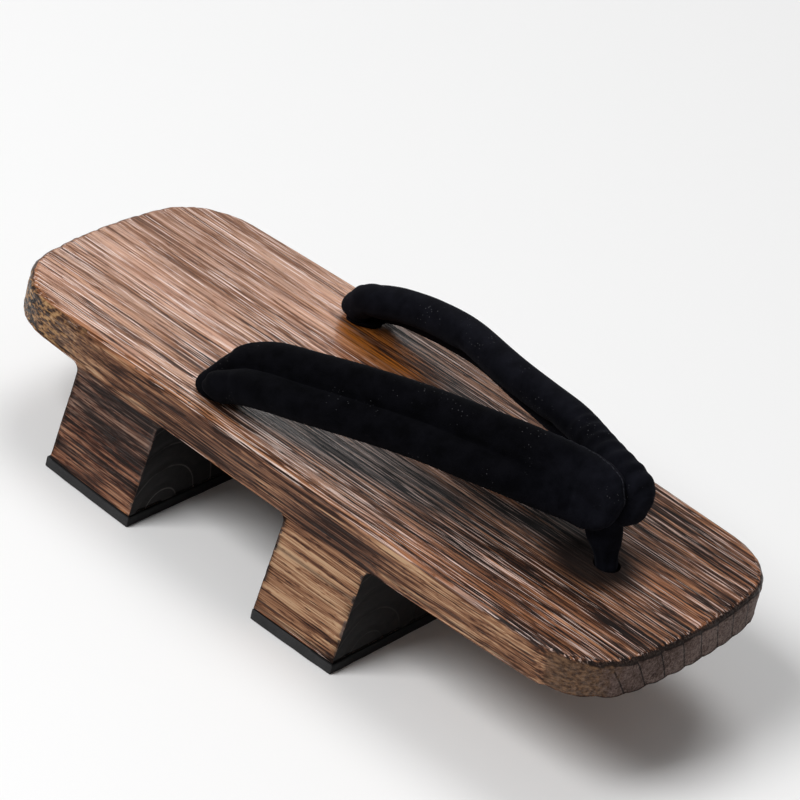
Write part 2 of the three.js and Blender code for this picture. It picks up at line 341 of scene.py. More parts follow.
def wood_places(tree):
    """Where a point of the body lies: its place and facing, masks for the parts of the surface, and the band
    where the straps' shadow is painted.
    """
    here = put(tree, "ShaderNodeTexCoord").outputs
    facing = put(tree, "ShaderNodeSeparateXYZ", Vector=here["Normal"]).outputs
    spot = put(tree, "ShaderNodeSeparateXYZ", Vector=here["Object"]).outputs
    at = SimpleNamespace(point=here["Object"], x=spot["X"], y=spot["Y"], z=spot["Z"], up=facing["Z"])
    at.end_turn = maths(tree, "ABSOLUTE", facing["Y"])
    at.top = step(tree, at.up, 0.45, 0.80)
    at.end = step(tree, at.end_turn, 0.78, 0.93)
    at.board = step(tree, at.z, 37 * MM, 40 * MM)
    at.tooth = minus(tree, 1.0, at.board)
    at.heel = step(tree, at.y, -35 * MM, -50 * MM)
    run_out = step(tree, at.y, -72 * MM, -116 * MM)
    turned = maths(tree, "MAXIMUM", step(tree, at.end_turn, 0.12, 0.35), run_out)
    not_under = step(tree, at.up, -0.80, -0.55)
    at.corner = times(tree, turned, times(tree, at.board, not_under))
    strap_line = minus(tree, STRAP_FOOT, times(tree, at.y, STRAP_SLANT))
    from_strap = maths(tree, "ABSOLUTE", minus(tree, maths(tree, "ABSOLUTE", at.x), strap_line))
    along_strap = between(tree, at.y, -52 * MM, -30 * MM, 70 * MM, 100 * MM)
    # Painted shadow: a band under each strap's line, where the straps shade the board.
    at.sheltered = times(tree, step(tree, from_strap, 15 * MM, 5 * MM), along_strap)
    return at


def wood_tone(tree, fibres):
    """Tone along the fibres, from 0 for scorched to 1 for pale, with short dark pores in it."""
    fine = times(tree, fibres["Fine"], 0.46)
    coarse = times(tree, fibres["Coarse"], 0.30)
    broad = times(tree, fibres["Broad"], 0.24)
    tone = plus(tree, plus(tree, coarse, fine), broad)
    tone = plus(tree, times(tree, minus(tree, tone, 0.5), 5.4), 0.5)
    pores = step(tree, fibres["Dash"], 0.42, 0.34)
    return minus(tree, tone, times(tree, pores, 0.22))


# %% Top of the board
TOP_COLOURS = [
    (0.10, (0.0055, 0.0024, 0.0018)),
    (0.32, (0.048, 0.016, 0.0070)),
    (0.50, (0.148, 0.053, 0.0200)),
    (0.68, (0.285, 0.116, 0.0480)),
    (0.90, (0.435, 0.212, 0.1080)),
]
# Deep orange wood of the patch by the left rear hole, its dark stops deepened as painted shade.
ORANGE_PATCH_AND_SHADE_COLOURS = [
    (0.20, (0.007, 0.002, 0.001)),
    (0.50, (0.066, 0.016, 0.001)),
    (0.85, (0.360, 0.110, 0.010)),
]
# Pale hard fibres, painted brighter as glints.
PALE_RIDGE_GLINT = (0.71, 0.52, 0.45, 1)
# Painted highlight along the near top edge at the heel.
EDGE_GLINT = (0.82, 0.64, 0.56, 1)
WARM_VARNISH = (1.06, 0.93, 0.84, 1)
# Grey-blue tint of the straps' painted shadow.
STRAP_SHADOW_TINT = (0.80, 0.98, 1.30, 1)
ORANGE_PATCH_AT = (-32 * MM, -28 * MM, BOARD_TOP)  # a deep orange patch inside the left rear hole, its darks deepened as painted shade beside the strap
ORANGE_PATCH_SHARE = (1 / (11 * MM), 1 / (24 * MM), 0)  # one over its reach across and along the board


def top_colour(tree, at, fibres, tone):
    """Colour of the board's top, with its painted glints and shade, and a mask of the pale ridges that carry
    the glints.
    """
    # The heel's fibres are evened towards a mid tone, more so on the far side.
    far_side = times(tree, step(tree, at.x, 25 * MM, -30 * MM), 0.30)
    heel_evened = times(tree, step(tree, at.y, -15 * MM, -85 * MM), plus(tree, far_side, 0.30))
    even = times(tree, minus(tree, 0.50, tone), heel_evened)
    # Darker towards the toe: partly a stronger scorch, partly painted shade for light that falls off towards
    # the toe.
    toe_scorch_and_shade = times(tree, step(tree, at.y, -70 * MM, 80 * MM), 0.28)
    top_tone = plus(tree, minus(tree, plus(tree, tone, even), toe_scorch_and_shade), 0.13)
    # Painted shadow of the straps: the wood under them is darker.
    top_tone = minus(tree, top_tone, times(tree, at.sheltered, 0.24))
    top = ramp(tree, top_tone, TOP_COLOURS)
    warm = times(tree, step(tree, fibres["Broad"], 0.48, 0.64), 0.7)
    top = mix(tree, warm, top, WARM_VARNISH, "MULTIPLY")
    # The straps' painted shadow is also tinted grey-blue.
    top = mix(tree, at.sheltered, top, STRAP_SHADOW_TINT, "MULTIPLY")

    # Painted glints are fewer in the straps' painted shadow and in the orange patch.
    # The orange patch by the left rear hole, with painted shade in its darks beside the strap.
    to_orange_patch = stretched(tree, vectors(tree, "SUBTRACT", at.point, ORANGE_PATCH_AT), ORANGE_PATCH_SHARE)
    orange_patch = times(tree, step(tree, vectors(tree, "LENGTH", to_orange_patch), 1.25, 0.65), 0.95)
    # Pale ridges, painted brighter as glints.
    ridge_glint = times(tree, step(tree, fibres["Ridge"], 0.58, 0.63), 0.85)
    ridge_glint = times(tree, ridge_glint, minus(tree, 1.0, times(tree, at.sheltered, 0.55)))
    ridge_glint = times(tree, ridge_glint, minus(tree, 1.0, times(tree, orange_patch, 0.8)))
    top = mix(tree, orange_patch, top, ramp(tree, tone, ORANGE_PATCH_AND_SHADE_COLOURS))
    # Painted highlight: glints along the rounded near top edge at the heel, where it faces the key panel.
    towards_edge = step(tree, at.x, 32 * MM, 46 * MM)
    near_edge = times(tree, towards_edge, step(tree, at.y, 40 * MM, -10 * MM))
    top = mix(tree, ridge_glint, top, mix(tree, near_edge, PALE_RIDGE_GLINT, EDGE_GLINT))
    return top, ridge_glint


# %% Sides and ends
SIDE_COLOURS = [
    (0.10, (0.020, 0.008, 0.005)),
    (0.34, (0.088, 0.034, 0.017)),
    (0.54, (0.188, 0.080, 0.036)),
    (0.72, (0.310, 0.152, 0.073)),
    (0.92, (0.460, 0.285, 0.160)),
]
HEEL_CORNER_COLOURS = [
    (0.43, (0.008, 0.004, 0.003)),
    (0.49, (0.050, 0.022, 0.010)),
    (0.55, (0.220, 0.108, 0.042)),
    (0.66, (0.420, 0.250, 0.110)),
]
TOE_CORNER_COLOURS = [
    (0.36, (0.048, 0.024, 0.014)),
    (0.50, (0.104, 0.055, 0.030)),
    (0.68, (0.180, 0.100, 0.054)),
]
END_COLOURS = [
    (0.16, (0.036, 0.022, 0.018)),
    (0.50, (0.112, 0.072, 0.060)),
    (0.84, (0.200, 0.136, 0.112)),
]
# Dark of the ring lines, also used for the painted shade round the thong's hole.
DARK_RING_AND_SHADE = (0.010, 0.006, 0.005, 1)
STAIN_ABOVE = (0.46, 0.44, 0.54, 1)  # on the heel tooth's sides
STAIN_BELOW = (0.68, 0.55, 0.54, 1)


def side_colour(tree, at, fibres, rings, tone):
    """Golden long sides, darker between the teeth, flecked at the corners, stained on the heel tooth."""
    middle = between(tree, at.y, -60 * MM, -20 * MM, 35 * MM, 75 * MM)
    front_tooth = times(tree, at.tooth, step(tree, at.y, -5 * MM, 5 * MM))
    side_tone = minus(tree, tone, times(tree, middle, 0.17))
    side_tone = plus(tree, side_tone, times(tree, front_tooth, 0.17))
    side = ramp(tree, side_tone, SIDE_COLOURS)
    side = mix(tree, times(tree, rings["Line"], 0.45), side, DARK_RING_AND_SHADE)
    heel_corner = ramp(tree, fibres["Fleck"], HEEL_CORNER_COLOURS)
    toe_corner = ramp(tree, fibres["Dash"], TOE_CORNER_COLOURS)
    side = mix(tree, at.corner, side, mix(tree, at.heel, toe_corner, heel_corner))
    stained = times(tree, at.tooth, at.heel)
    stain = mix(tree, step(tree, at.z, 26 * MM, 18 * MM), STAIN_ABOVE, STAIN_BELOW)
    side = mix(tree, stained, side, stain, "MULTIPLY")
    streak = times(tree, step(tree, fibres["Coarse"], 0.52, 0.44), stained)
    return mix(tree, times(tree, streak, 0.65), side, DARK_RING_AND_SHADE)


def end_colour(tree, rings, tone):
    """Grey-brown cut fibres at heel and toe, with dark ring lines."""
    end = ramp(tree, plus(tree, times(tree, tone, 0.5), 0.25), END_COLOURS)
    return mix(tree, times(tree, rings["Line"], 0.90), end, DARK_RING_AND_SHADE)


# %% Brushed wood
THONG_SHADE_MIDDLE = (2.0 * MM, 90.0 * MM, BOARD_TOP)  # just behind the thong's hole, the middle of the painted shade round it


def brushed_wood():
    material, tree, shader = new_material("brushed wood")
    at = wood_places(tree)
    fibres = use_group(tree, fibre_group, Vector=at.point, Waver=1.0)
    rings = use_group(tree, ring_group, Vector=at.point, Pith=BOARD_PITH, Waver=1.0, Line=0.08)
    tone = wood_tone(tree, fibres)
    top, ridge_glint = top_colour(tree, at, fibres, tone)
    side = side_colour(tree, at, fibres, rings, tone)
    colour = mix(tree, at.end, side, end_colour(tree, rings, tone))
    colour = mix(tree, at.top, colour, top)
    burnt = step(tree, times(tree, at.end_turn, at.up), 0.24, 0.36)
    burnt = times(tree, burnt, step(tree, at.up, 0.94, 0.82))  # the rounded top edge at heel and toe
    colour = mix(tree, times(tree, burnt, 0.9), colour, DARK_RING_AND_SHADE)
    # Painted shade round the thong's hole, near black at its middle.
    from_thong_shade = vectors(tree, "DISTANCE", at.point, THONG_SHADE_MIDDLE)
    near_black = times(tree, step(tree, from_thong_shade, 22 * MM, 9 * MM), 0.97)
    tree.links.new(mix(tree, near_black, colour, DARK_RING_AND_SHADE), shader.inputs["Base Color"])

    # Bare end grain and the dug-out soft wood hold no varnish, so they lose the coat and turn rough.
    # The painted shade round the thong's hole loses the coat and turns rough as well.
    varnished = maths(tree, "MAXIMUM", step(tree, tone, 0.25, 0.75), ridge_glint)
    bare = maths(tree, "MAXIMUM", near_black, times(tree, at.end, 0.7))
    rough = minus(tree, 0.56, times(tree, varnished, 0.18))
    rough = plus(tree, rough, times(tree, bare, 0.45), clamp=True)
    coat = plus(tree, times(tree, varnished, 0.38), 0.04)
    coat = times(tree, minus(tree, 1.0, bare, clamp=True), coat)
    tree.links.new(rough, shader.inputs["Roughness"])
    tree.links.new(coat, shader.inputs["Coat Weight"])
    shader.inputs["Specular IOR Level"].default_value = 0.11
    shader.inputs["Coat Roughness"].default_value = 0.30
    height = minus(tree, tone, times(tree, rings["Line"], 0.25))
    bump = put(tree, "ShaderNodeBump", Strength=0.8, Distance=0.30 * MM, Height=height)
    tree.links.new(bump.outputs[0], shader.inputs["Normal"])
    return material


wood_finish = brushed_wood()
print("nodes in the brushed wood:", len(wood_finish.node_tree.nodes))

# %% [markdown]
# ## The scorched tooth faces
# The faces of the teeth that look to heel and toe are cut across the fibres. They were burnt black and left
# matt, and the growth rings stand out as thin grey arcs. It is the same ring group as on the brushed wood,
# with the line made thinner.

# %% Scorched end grain
ARC_GREY = (0.085, 0.078, 0.074, 1)


def scorched_wood():
    material, tree, shader = new_material("scorched end grain")
    here = put(tree, "ShaderNodeTexCoord").outputs
    fibres = use_group(tree, fibre_group, Vector=here["Object"], Waver=1.0)
    rings = use_group(tree, ring_group, Vector=here["Object"], Pith=TOOTH_PITH, Waver=0.8, Line=0.07)
    spot = put(tree, "ShaderNodeSeparateXYZ", Vector=here["Object"]).outputs
    near_black = ramp(tree, fibres["Coarse"], [(0.3, (0.0022, 0.0016, 0.0016)), (0.7, (0.0070, 0.0048, 0.0048))])
    heel_tooth = step(tree, spot["Y"], 20 * MM, -10 * MM)  # its arcs show more than the front tooth's
    worn = times(tree, rings["Line"], step(tree, fibres["Broad"], 0.38, 0.62))
    worn = times(tree, worn, plus(tree, times(tree, heel_tooth, 0.75), 0.25))
    colour = mix(tree, times(tree, worn, 0.8), near_black, ARC_GREY)
    tree.links.new(colour, shader.inputs["Base Color"])
    shader.inputs["Roughness"].default_value = 0.62
    shader.inputs["Specular IOR Level"].default_value = 0.2
    height = plus(tree, times(tree, fibres["Fine"], 0.5), times(tree, rings["Line"], 0.6))
    bump = put(tree, "ShaderNodeBump", Strength=0.4, Distance=0.2 * MM, Height=height)
    tree.links.new(bump.outputs[0], shader.inputs["Normal"])
    return material


scorched_finish = scorched_wood()
print("nodes in the scorched wood:", len(scorched_finish.node_tree.nodes))

# %% [markdown]
# ## The body's mesh
# The CAD body has flat faces and sharp edges. Real brushed wood has soft edges, and where a dug-out fibre
# reaches an edge, the edge itself is nicked. A bump can't show that, because it never moves an outline. So
# the body is copied, its edges are rounded, it is sliced into small cells across the grain, and each vertex
# is then pressed in by a depth that follows the fibres and rings.

# %% Slice and round a copy of a CAD node
def rounded_copy(node, width, cells):
    """A bmesh of a CAD node with rounded edges, cut by planes about one cell apart along x, y and z."""
    bm = bmesh.new()
    bm.from_mesh(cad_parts[node].data)
    bmesh.ops.remove_doubles(bm, verts=bm.verts, dist=0.005 * MM)
    bmesh.ops.dissolve_limit(bm, angle_limit=math.radians(0.5), verts=bm.verts, edges=bm.edges)
    sharp = [e for e in bm.edges if len(e.link_faces) == 2 and e.calc_face_angle() > math.radians(30)]
    bmesh.ops.bevel(bm, geom=sharp, offset=width, segments=3, affect="EDGES",
                    profile=0.5, clamp_overlap=True)
    low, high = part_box(node)
    for axis, size in enumerate(cells):
        normal = Vector((0, 0, 0))
        normal[axis] = 1
        count = int((high[axis] - low[axis]) / size)
        for i in range(1, count + 1):
            point = Vector((0, 0, 0))
            point[axis] = low[axis] + (high[axis] - low[axis]) * i / (count + 1)
            everything = bm.verts[:] + bm.edges[:] + bm.faces[:]
            bmesh.ops.bisect_plane(bm, geom=everything, dist=0.01 * MM, plane_co=point, plane_no=normal)
    return bm


def show(bm, name, materials, pick=None):
    """Turns a bmesh into a smooth object, with a material for each face as pick says."""
    bmesh.ops.triangulate(bm, faces=[f for f in bm.faces if len(f.verts) > 4])
    for face in bm.faces:
        face.smooth = True
        face.material_index = pick(face) if pick else 0
    mesh = bpy.data.meshes.new(name)
    bm.to_mesh(mesh)
    bm.free()
    for material in materials:
        mesh.materials.append(material)
    made = bpy.data.objects.new(name, mesh)
    bpy.context.scene.collection.objects.link(made)
    return made


# %% Brushed relief
BOARD_THICKNESS = 13.65 * MM
LOWER_EDGE = 1000 * (BOARD_TOP - BOARD_THICKNESS)  # of the board, in mm over the floor
FIBRE_DEPTH = 0.14  # mm, as are the next four
WAVE_DEPTH = 0.16
RING_DEPTH = 0.26
TOOTH_RING_DEPTH = 0.36
SCALLOP_DEPTH = 0.80  # of the lower edge at the two ends of the board
SCALLOP_FROM = 112  # mm from the middle, towards heel or toe
SCALLOP_REACH = 3  # mm up from the lower edge
FILLET_FOOT = 34  # mm over the floor, where the fillet between tooth and board has ended
HOLES = {"rear_right": (38.5, -42.2), "rear_left": (-38.5, -42.2), "front": (0.0, 93.0)}  # mm
HOLE_RIM = 6.5  # mm from a hole's middle, inside which nothing is pressed in


def ring_phase(x, y, z, pith):
    """Where a point in mm lies between one dark ring line, 0, and the next, 1."""
    waver = 2.5 * noise.noise(Vector((0.030 * x, 0.006 * y, 0.030 * z)))
    out = math.hypot(x - 1000 * pith.x, z - 1000 * pith.z) + waver
    return (out / (1000 * RING_SPACING)) % 1.0


def notch(phase):
    """1 on a ring line, falling to 0 a short way from it."""
    return math.exp(-(min(phase, 1 - phase) / 0.11) ** 2)


def pressed_in(point, normal):
    """Depth in mm that brushing has taken off at a point."""
    x, y, z = (1000 * v for v in point)
    fibre = noise.noise(Vector((0.55 * x, 0.008 * y, 0.55 * z)))
    wave = noise.noise(Vector((0.20 * x, 0.014 * y, 0.20 * z + 7)))
    depth = FIBRE_DEPTH * (0.5 + fibre) + WAVE_DEPTH * (0.5 + wave)
    if z > LOWER_EDGE:
        depth += RING_DEPTH * notch(ring_phase(x, y, z, BOARD_PITH))
    elif abs(normal.y) > 0.3:
        below_fillet = min(1.0, max(0.0, (FILLET_FOOT - z) / 3))
        depth += TOOTH_RING_DEPTH * below_fillet * notch(ring_phase(x, y, z, TOOTH_PITH))
    clear = min(math.hypot(x - hole_x, y - hole_y) for hole_x, hole_y in HOLES.values())
    return depth * min(1.0, max(0.0, (clear - HOLE_RIM) / 3))


def brush(bm):
    """Presses the surface in along the fibres, and scallops the lower edge at heel and toe."""
    bm.normal_update()
    moves = []
    for vert in bm.verts:
        x, y, z = (1000 * v for v in vert.co)
        move = -pressed_in(vert.co, vert.normal) * MM * vert.normal
        if abs(y) > SCALLOP_FROM and z < LOWER_EDGE + SCALLOP_REACH:
            bow = math.sin(math.pi * ring_phase(x, y, z, BOARD_PITH))
            near_edge = 1 - max(0.0, z - LOWER_EDGE) / SCALLOP_REACH
            move.z += SCALLOP_DEPTH * MM * (1 - bow) * near_edge
        moves.append(move)
    for vert, move in zip(bm.verts, moves):
        vert.co += move


# %% The body
EDGE_ROUND = 0.8 * MM
WOOD_CELLS = (1.1 * MM, 4.0 * MM, 1.2 * MM)
SCORCHED = 1


def wood_slot(face):
    """The teeth's faces towards heel and toe are scorched."""
    centre = face.calc_center_median()
    on_tooth = centre.z < BOARD_TOP - BOARD_THICKNESS - 0.6 * MM
    return SCORCHED if on_tooth and abs(face.normal.y) > 0.7 else 0


body = rounded_copy("wood_body", EDGE_ROUND, WOOD_CELLS)
brush(body)
wood = show(body, "wood_body_brushed", [wood_finish, scorched_finish], wood_slot)
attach(wood, "root")
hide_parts("wood_body")
print("wood faces:", len(wood.data.polygons))

# %% [markdown]
# ## The rubber pads
# Each pad is sheet rubber glued under a tooth and trimmed with a knife, so its long faces are dark and
# smooth and its cut ends are paler, with fine grit. The ends' paler colour is partly painted light, for the
# light that falls on them. A pad could be a box with a bevel. It is made like the body instead, a sliced
# copy with slightly wavy sides, because a trimmed edge is never quite straight.

# %% Rubber
def rubber(name, colour, dusty):
    material, tree, shader = new_material(name)
    here = put(tree, "ShaderNodeTexCoord").outputs
    grit = noise_at(tree, here["Object"], 1800, 3, 0.6)
    cloud = noise_at(tree, here["Object"], 120, 2, 0.5)
    specks = use_group(tree, speck_group, Vector=here["Object"], Scale=1300.0, Share=0.28)["Mask"]
    tone = plus(tree, times(tree, grit, 0.5), times(tree, cloud, 0.5))
    dark = tuple(0.75 * c for c in colour)
    light = tuple(1.3 * c for c in colour)
    base = ramp(tree, tone, [(0.35, dark), (0.65, light)])
    base = mix(tree, times(tree, specks, 0.25), base, dusty)
    tree.links.new(base, shader.inputs["Base Color"])
    tree.links.new(plus(tree, times(tree, cloud, 0.2), 0.6), shader.inputs["Roughness"])
    shader.inputs["Specular IOR Level"].default_value = 0.2
    bump = put(tree, "ShaderNodeBump", Strength=0.35, Distance=0.1 * MM, Height=grit)
    tree.links.new(bump.outputs[0], shader.inputs["Normal"])
    return material


def rubber_slot(face):
    """The pads' ends, which face sideways, are cut and paler, partly as painted light."""
    return int(abs(face.normal.x) > 0.7)


cut_lit_rubber = rubber("cut rubber with painted light", (0.026, 0.026, 0.027), (0.08, 0.08, 0.08, 1))
dark_rubber = rubber("dark rubber", (0.0035, 0.0035, 0.0040), (0.02, 0.02, 0.02, 1))

# %% Pads
PAD_CELLS = (2.5 * MM, 2.5 * MM, 1.0 * MM)
TRIM_WAVE = 0.22 * MM
for node in ("pad_heel", "pad_front"):
    sheet = rounded_copy(node, 0.5 * MM, PAD_CELLS)
    sheet.normal_update()
    for vert in sheet.verts:
        if abs(vert.normal.z) < 0.9:
            vert.co += TRIM_WAVE * noise.noise(160 * vert.co) * Vector((vert.normal.x, vert.normal.y, 0))
    pad = show(sheet, node + "_rubber", [dark_rubber, cut_lit_rubber], rubber_slot)
    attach(pad, "root")
    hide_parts(node)
    print(pad.name, "faces:", len(pad.data.polygons))

# %% [markdown]
# ## Velvet
# Velvet is a short, dense pile. Seen straight on it swallows light and looks black, and seen along the
# surface the fibre tips catch light and a grey rim shows. The Principled shader's sheen does just that. A
# coat of real hairs would be closer, but thousands of strands gain little at this size. Lint and dust sit
# on the pile as small pale specks.

# %% Velvet
def velvet():
    material, tree, shader = new_material("black velvet")
    here = put(tree, "ShaderNodeTexCoord").outputs
    pile = noise_at(tree, here["Object"], 2600, 2, 0.6)
    brushed = noise_at(tree, here["Object"], 160, 3, 0.6)
    lint = use_group(tree, speck_group, Vector=here["Object"], Scale=760.0, Share=0.16)["Mask"]
    from_thong = vectors(tree, "DISTANCE", here["Object"], THONG_SHADE_MIDDLE)
    lint = times(tree, lint, step(tree, from_thong, 18 * MM, 26 * MM))  # none on the thong
    spot = put(tree, "ShaderNodeSeparateXYZ", Vector=here["Object"]).outputs
    # Painted light and shade: the left strap and the nose, which face the light more, are painted lighter
    # than the right strap.
    left = times(tree, step(tree, spot["X"], -1 * MM, -9 * MM), 0.7)
    lit_pile_mask = maths(tree, "MAXIMUM", step(tree, spot["Y"], 58 * MM, 98 * MM), left)
    laid = ramp(tree, brushed, [(0.35, (0.0009, 0.0009, 0.0014)), (0.68, (0.0026, 0.0026, 0.0038))])
    lit_pile = ramp(tree, brushed, [(0.35, (0.0034, 0.0036, 0.0056)), (0.68, (0.0072, 0.0076, 0.0114))])
    base = mix(tree, lit_pile_mask, laid, lit_pile)
    base = mix(tree, times(tree, lint, 0.22), base, (0.16, 0.16, 0.17, 1))
    tree.links.new(base, shader.inputs["Base Color"])
    shader.inputs["Roughness"].default_value = 0.95
    shader.inputs["Specular IOR Level"].default_value = 0.03
    shader.inputs["Sheen Weight"].default_value = 0.018
    shader.inputs["Sheen Roughness"].default_value = 0.45
    shader.inputs["Sheen Tint"].default_value = (0.80, 0.84, 1.0, 1)
    height = plus(tree, times(tree, pile, 0.6), times(tree, brushed, 0.4))
    bump = put(tree, "ShaderNodeBump", Strength=0.5, Distance=0.25 * MM, Height=height)
    tree.links.new(bump.outputs[0], shader.inputs["Normal"])
    return material


black_velvet = velvet()

# %% [markdown]
# ## The straps
# Each strap is a velvet tube sewn down its middle, so that two rolls of padding lie side by side. It comes
# up out of a rear hole, twists as it rises over the foot, and meets its twin at the nose. The run is a
# short table in the shoe's own sizes: where the middle of the band is, how far its face leans outwards,
# and how wide and thick it is. Cloth simulation would puff up a flat tube, but it would also lose the seam
# and the twist, so the padded section is swept along the run and creased.

# %% Run of one strap
def table(columns, *rows):
    """A list with a dictionary for each row, by the columns' names."""
    return [dict(zip(columns.split(), row)) for row in rows]


# x is out from the middle line, z is over the board, tilt is in degrees and sizes are in millimetres.
STRAP = table(
    "x y z tilt half thick",
    (38.5, -42.2, -0.5, 3, 6.0, 5.0),
    (38.5, -42.3, 3.5, 7, 9.0, 5.5),
    (38.0, -39.0, 7.5, 13, 10.5, 5.7),
    (36.5, -33.0, 11.5, 24, 11.8, 5.7),
    (36.0, -24.0, 15.0, 35, 12.0, 5.7),
    (34.5, -10.0, 18.5, 40, 12.0, 5.7),
    (30.5, 8.0, 22.0, 45, 12.0, 5.7),
    (24.0, 28.0, 24.0, 45, 12.0, 5.7),
    (19.0, 48.0, 25.5, 50, 12.0, 5.7),
    (13.5, 67.0, 26.5, 60, 12.0, 5.7),
    (7.0, 83.0, 26.5, 75, 12.0, 5.8),
    (5.0, 91.0, 25.5, 82, 11.8, 5.5),
    (4.5, 95.4, 24.5, 86, 9.8, 4.8),
    (4.0, 97.6, 24.0, 88, 6.4, 3.2),
)


def along(rows, name, t):
    """Smooth values of a table's column for t from 0 at the first row to 1 at the last."""
    values = np.array([row[name] for row in rows], float)
    at = np.clip(np.asarray(t, float), 0, 1) * (len(values) - 1)
    i = np.minimum(at.astype(int), len(values) - 2)
    f = at - i
    a, b, c, d = (values[np.clip(i + k, 0, len(values) - 1)] for k in (-1, 0, 1, 2))
    return b + 0.5 * f * (c - a + f * (2 * a - 5 * b + 4 * c - d + f * (3 * (b - c) + d - a)))


def middle_line(t):
    return np.stack([along(STRAP, axis, t) for axis in "xyz"], axis=-1)


def unit(v):
    return v / np.linalg.norm(v, axis=-1, keepdims=True)


# %% [markdown]
# ## Creases
# Padding resists bending, so a strap creases where it turns: across the band where it dives into the rear
# hole, and fanned out at the nose, where the thong pulls it down. Each crease is a soft trough, or a ridge
# where its depth is below 0, given by how far along the strap it is, where it sits across the band,
# how long, wide and deep it is, and how much it leans. Both straps are sewn alike but were never handled
# alike, so each has its own table.

# %% Crease tables
# at is mm along the strap from the rear hole, across runs from -1 at the inner edge to 1 at the outer edge,
# face is 1 on the outer face and -1 on the inner face, length, width and depth are in mm, and lean is how
# many mm the crease moves along the strap over its length.
CREASE_COLUMNS = "at across face length width depth lean"
CREASES = {
    "right": table(
        CREASE_COLUMNS,
        (5, 0.5, 1, 10, 1.0, 0.7, 2),
        (9, -0.5, 1, 9, 1.2, 0.25, -2),
        (13, 0.6, 1, 8, 1.3, 0.45, 1),
        (7, 0.0, -1, 16, 1.4, 0.9, 0),
        (14, 0.2, -1, 14, 1.6, 0.7, 2),
        (52, -0.4, 1, 14, 3.0, 0.35, 9),
        (88, 0.5, 1, 12, 2.6, 0.30, -8),
        (118, 0.1, 1, 16, 2.4, 0.40, 8),
        (132, 0.5, 1, 11, 1.6, 0.55, 6),
        (139, 0.2, 1, 14, 1.4, 0.55, 4),
    ),
    "left": table(
        CREASE_COLUMNS,
        (4, 0.1, 1, 9, 2.4, -2.0, 0),
        (8, -0.4, 1, 12, 1.0, 0.8, 2),
        (8, 0.1, 1, 16, 1.1, 0.8, 1),
        (12, -0.3, 1, 13, 1.3, 0.6, -1),
        (17, -0.5, 1, 10, 1.4, 0.2, -2),
        (8, 0.0, -1, 18, 1.3, 0.9, 0),
        (15, -0.2, -1, 15, 1.5, 0.7, -2),
        (60, -0.5, -1, 14, 3.0, 0.35, 9),
        (108, -0.3, -1, 13, 2.4, 0.40, -7),
        (128, -0.6, -1, 12, 1.4, 0.6, 2),
        (135, 0.0, -1, 16, 1.4, 0.5, 5),
        (141, -0.4, -1, 12, 1.2, 0.5, 3),
    ),
}
# Small puckers along the upper edge near the nose: where they start, how far apart and how deep they are.
GATHER = {"from": 112, "period": 4.6, "right": 0.25, "left": 1.2}
print("creases:", {name: len(rows) for name, rows in CREASES.items()})

# %% [markdown]
# ## Two straps are never quite alike
# The table above is the same for both straps. In use they pull differently: the right one starts a little
# further forward, and at the nose, where the two are sewn together, it sits lower and further back, so that
# the end of the left one shows beyond it. Each end gets its own small shift, faded in along the strap.

# %% Shifts of the two straps
# Shifts are in mm, out from the middle, forward and up, and the spans are mm along the strap.
REAR_SPAN = (34, 8)
REAR_SHIFT = {"right": (0.0, 2.2, 0.0), "left": (0.0, -2.2, 0.0)}
NOSE_SPAN = (112, 146)
NOSE_SHIFT = {"right": (1.0, -4.2, -1.6), "left": (-2.2, 0.6, -0.6)}


def rising(values, start, end):
    """0 at start, 1 at end and smooth between. The start may be the larger one."""
    part = np.clip((values - start) / (end - start), 0, 1)
    return part * part * (3 - 2 * part)


# %% Rolls, creases and puckers
ROLL_REACH = 0.53  # of each roll from its middle to the seam, where 0.50 would let the two rolls just touch
SEAM_ENDS = (118, 140)  # mm along the strap, where the seam between the rolls fades out
SEAM_FADE = 0.9  # added to the reach by then, which leaves one broad roll


def roll_height(w, reach):
    """Height of the two rolls over the band's middle plane at w from 0, the seam, to 1, the edge."""
    outer = np.sqrt(np.clip(1 - ((w - 0.5) / 0.5) ** 2, 0, 1))
    inner = np.sqrt(np.clip(1 - ((w - 0.5) / reach) ** 2, 0, 1))
    return np.where(w > 0.5, outer, inner)


def crease_depth(creases, run, u, face, half):
    """Depth in mm pressed in at points run mm along the strap and u across it."""
    depth = np.zeros(np.broadcast(run, u).shape)
    for crease in creases:
        off = (u - crease["across"]) * half
        inside = np.clip(1 - (2 * off / crease["length"]) ** 2, 0, 1)
        middle = crease["at"] + crease["lean"] * off / crease["length"]
        trough = np.exp(-((run - middle) / crease["width"]) ** 2)
        same_face = face * crease["face"] > 0
        depth += np.where(same_face, crease["depth"] * trough * inside, 0)
    return depth


def pucker_depth(run, u, name):
    """How far in mm the upper edge is drawn in near the nose."""
    wave = 0.5 + 0.5 * np.cos(2 * np.pi * run / GATHER["period"])
    fade = np.clip((run - GATHER["from"]) / 8, 0, 1)
    return GATHER[name] * (wave * fade * np.clip(-u - 0.3, 0, 1))


def padding_lumps(run, angle, side):
    """Uneven stuffing, from about -1 to 1."""
    return np.array([[noise.noise(Vector((0.05 * s, 2.2 * c, 3.1 * side + d)))
                      for c, d in zip(np.cos(angle), np.sin(angle))] for s in run])


# %% Strap surface
STEPS_PER_ROW = 18
SECTION_STEPS = 84
TIP_RINGS = 5
TIP_LENGTH = 1.5  # mm
LUMP_HEIGHT = 0.35  # mm
LEAST_HEIGHT = 0.15  # mm over the board, which no point of a strap goes below


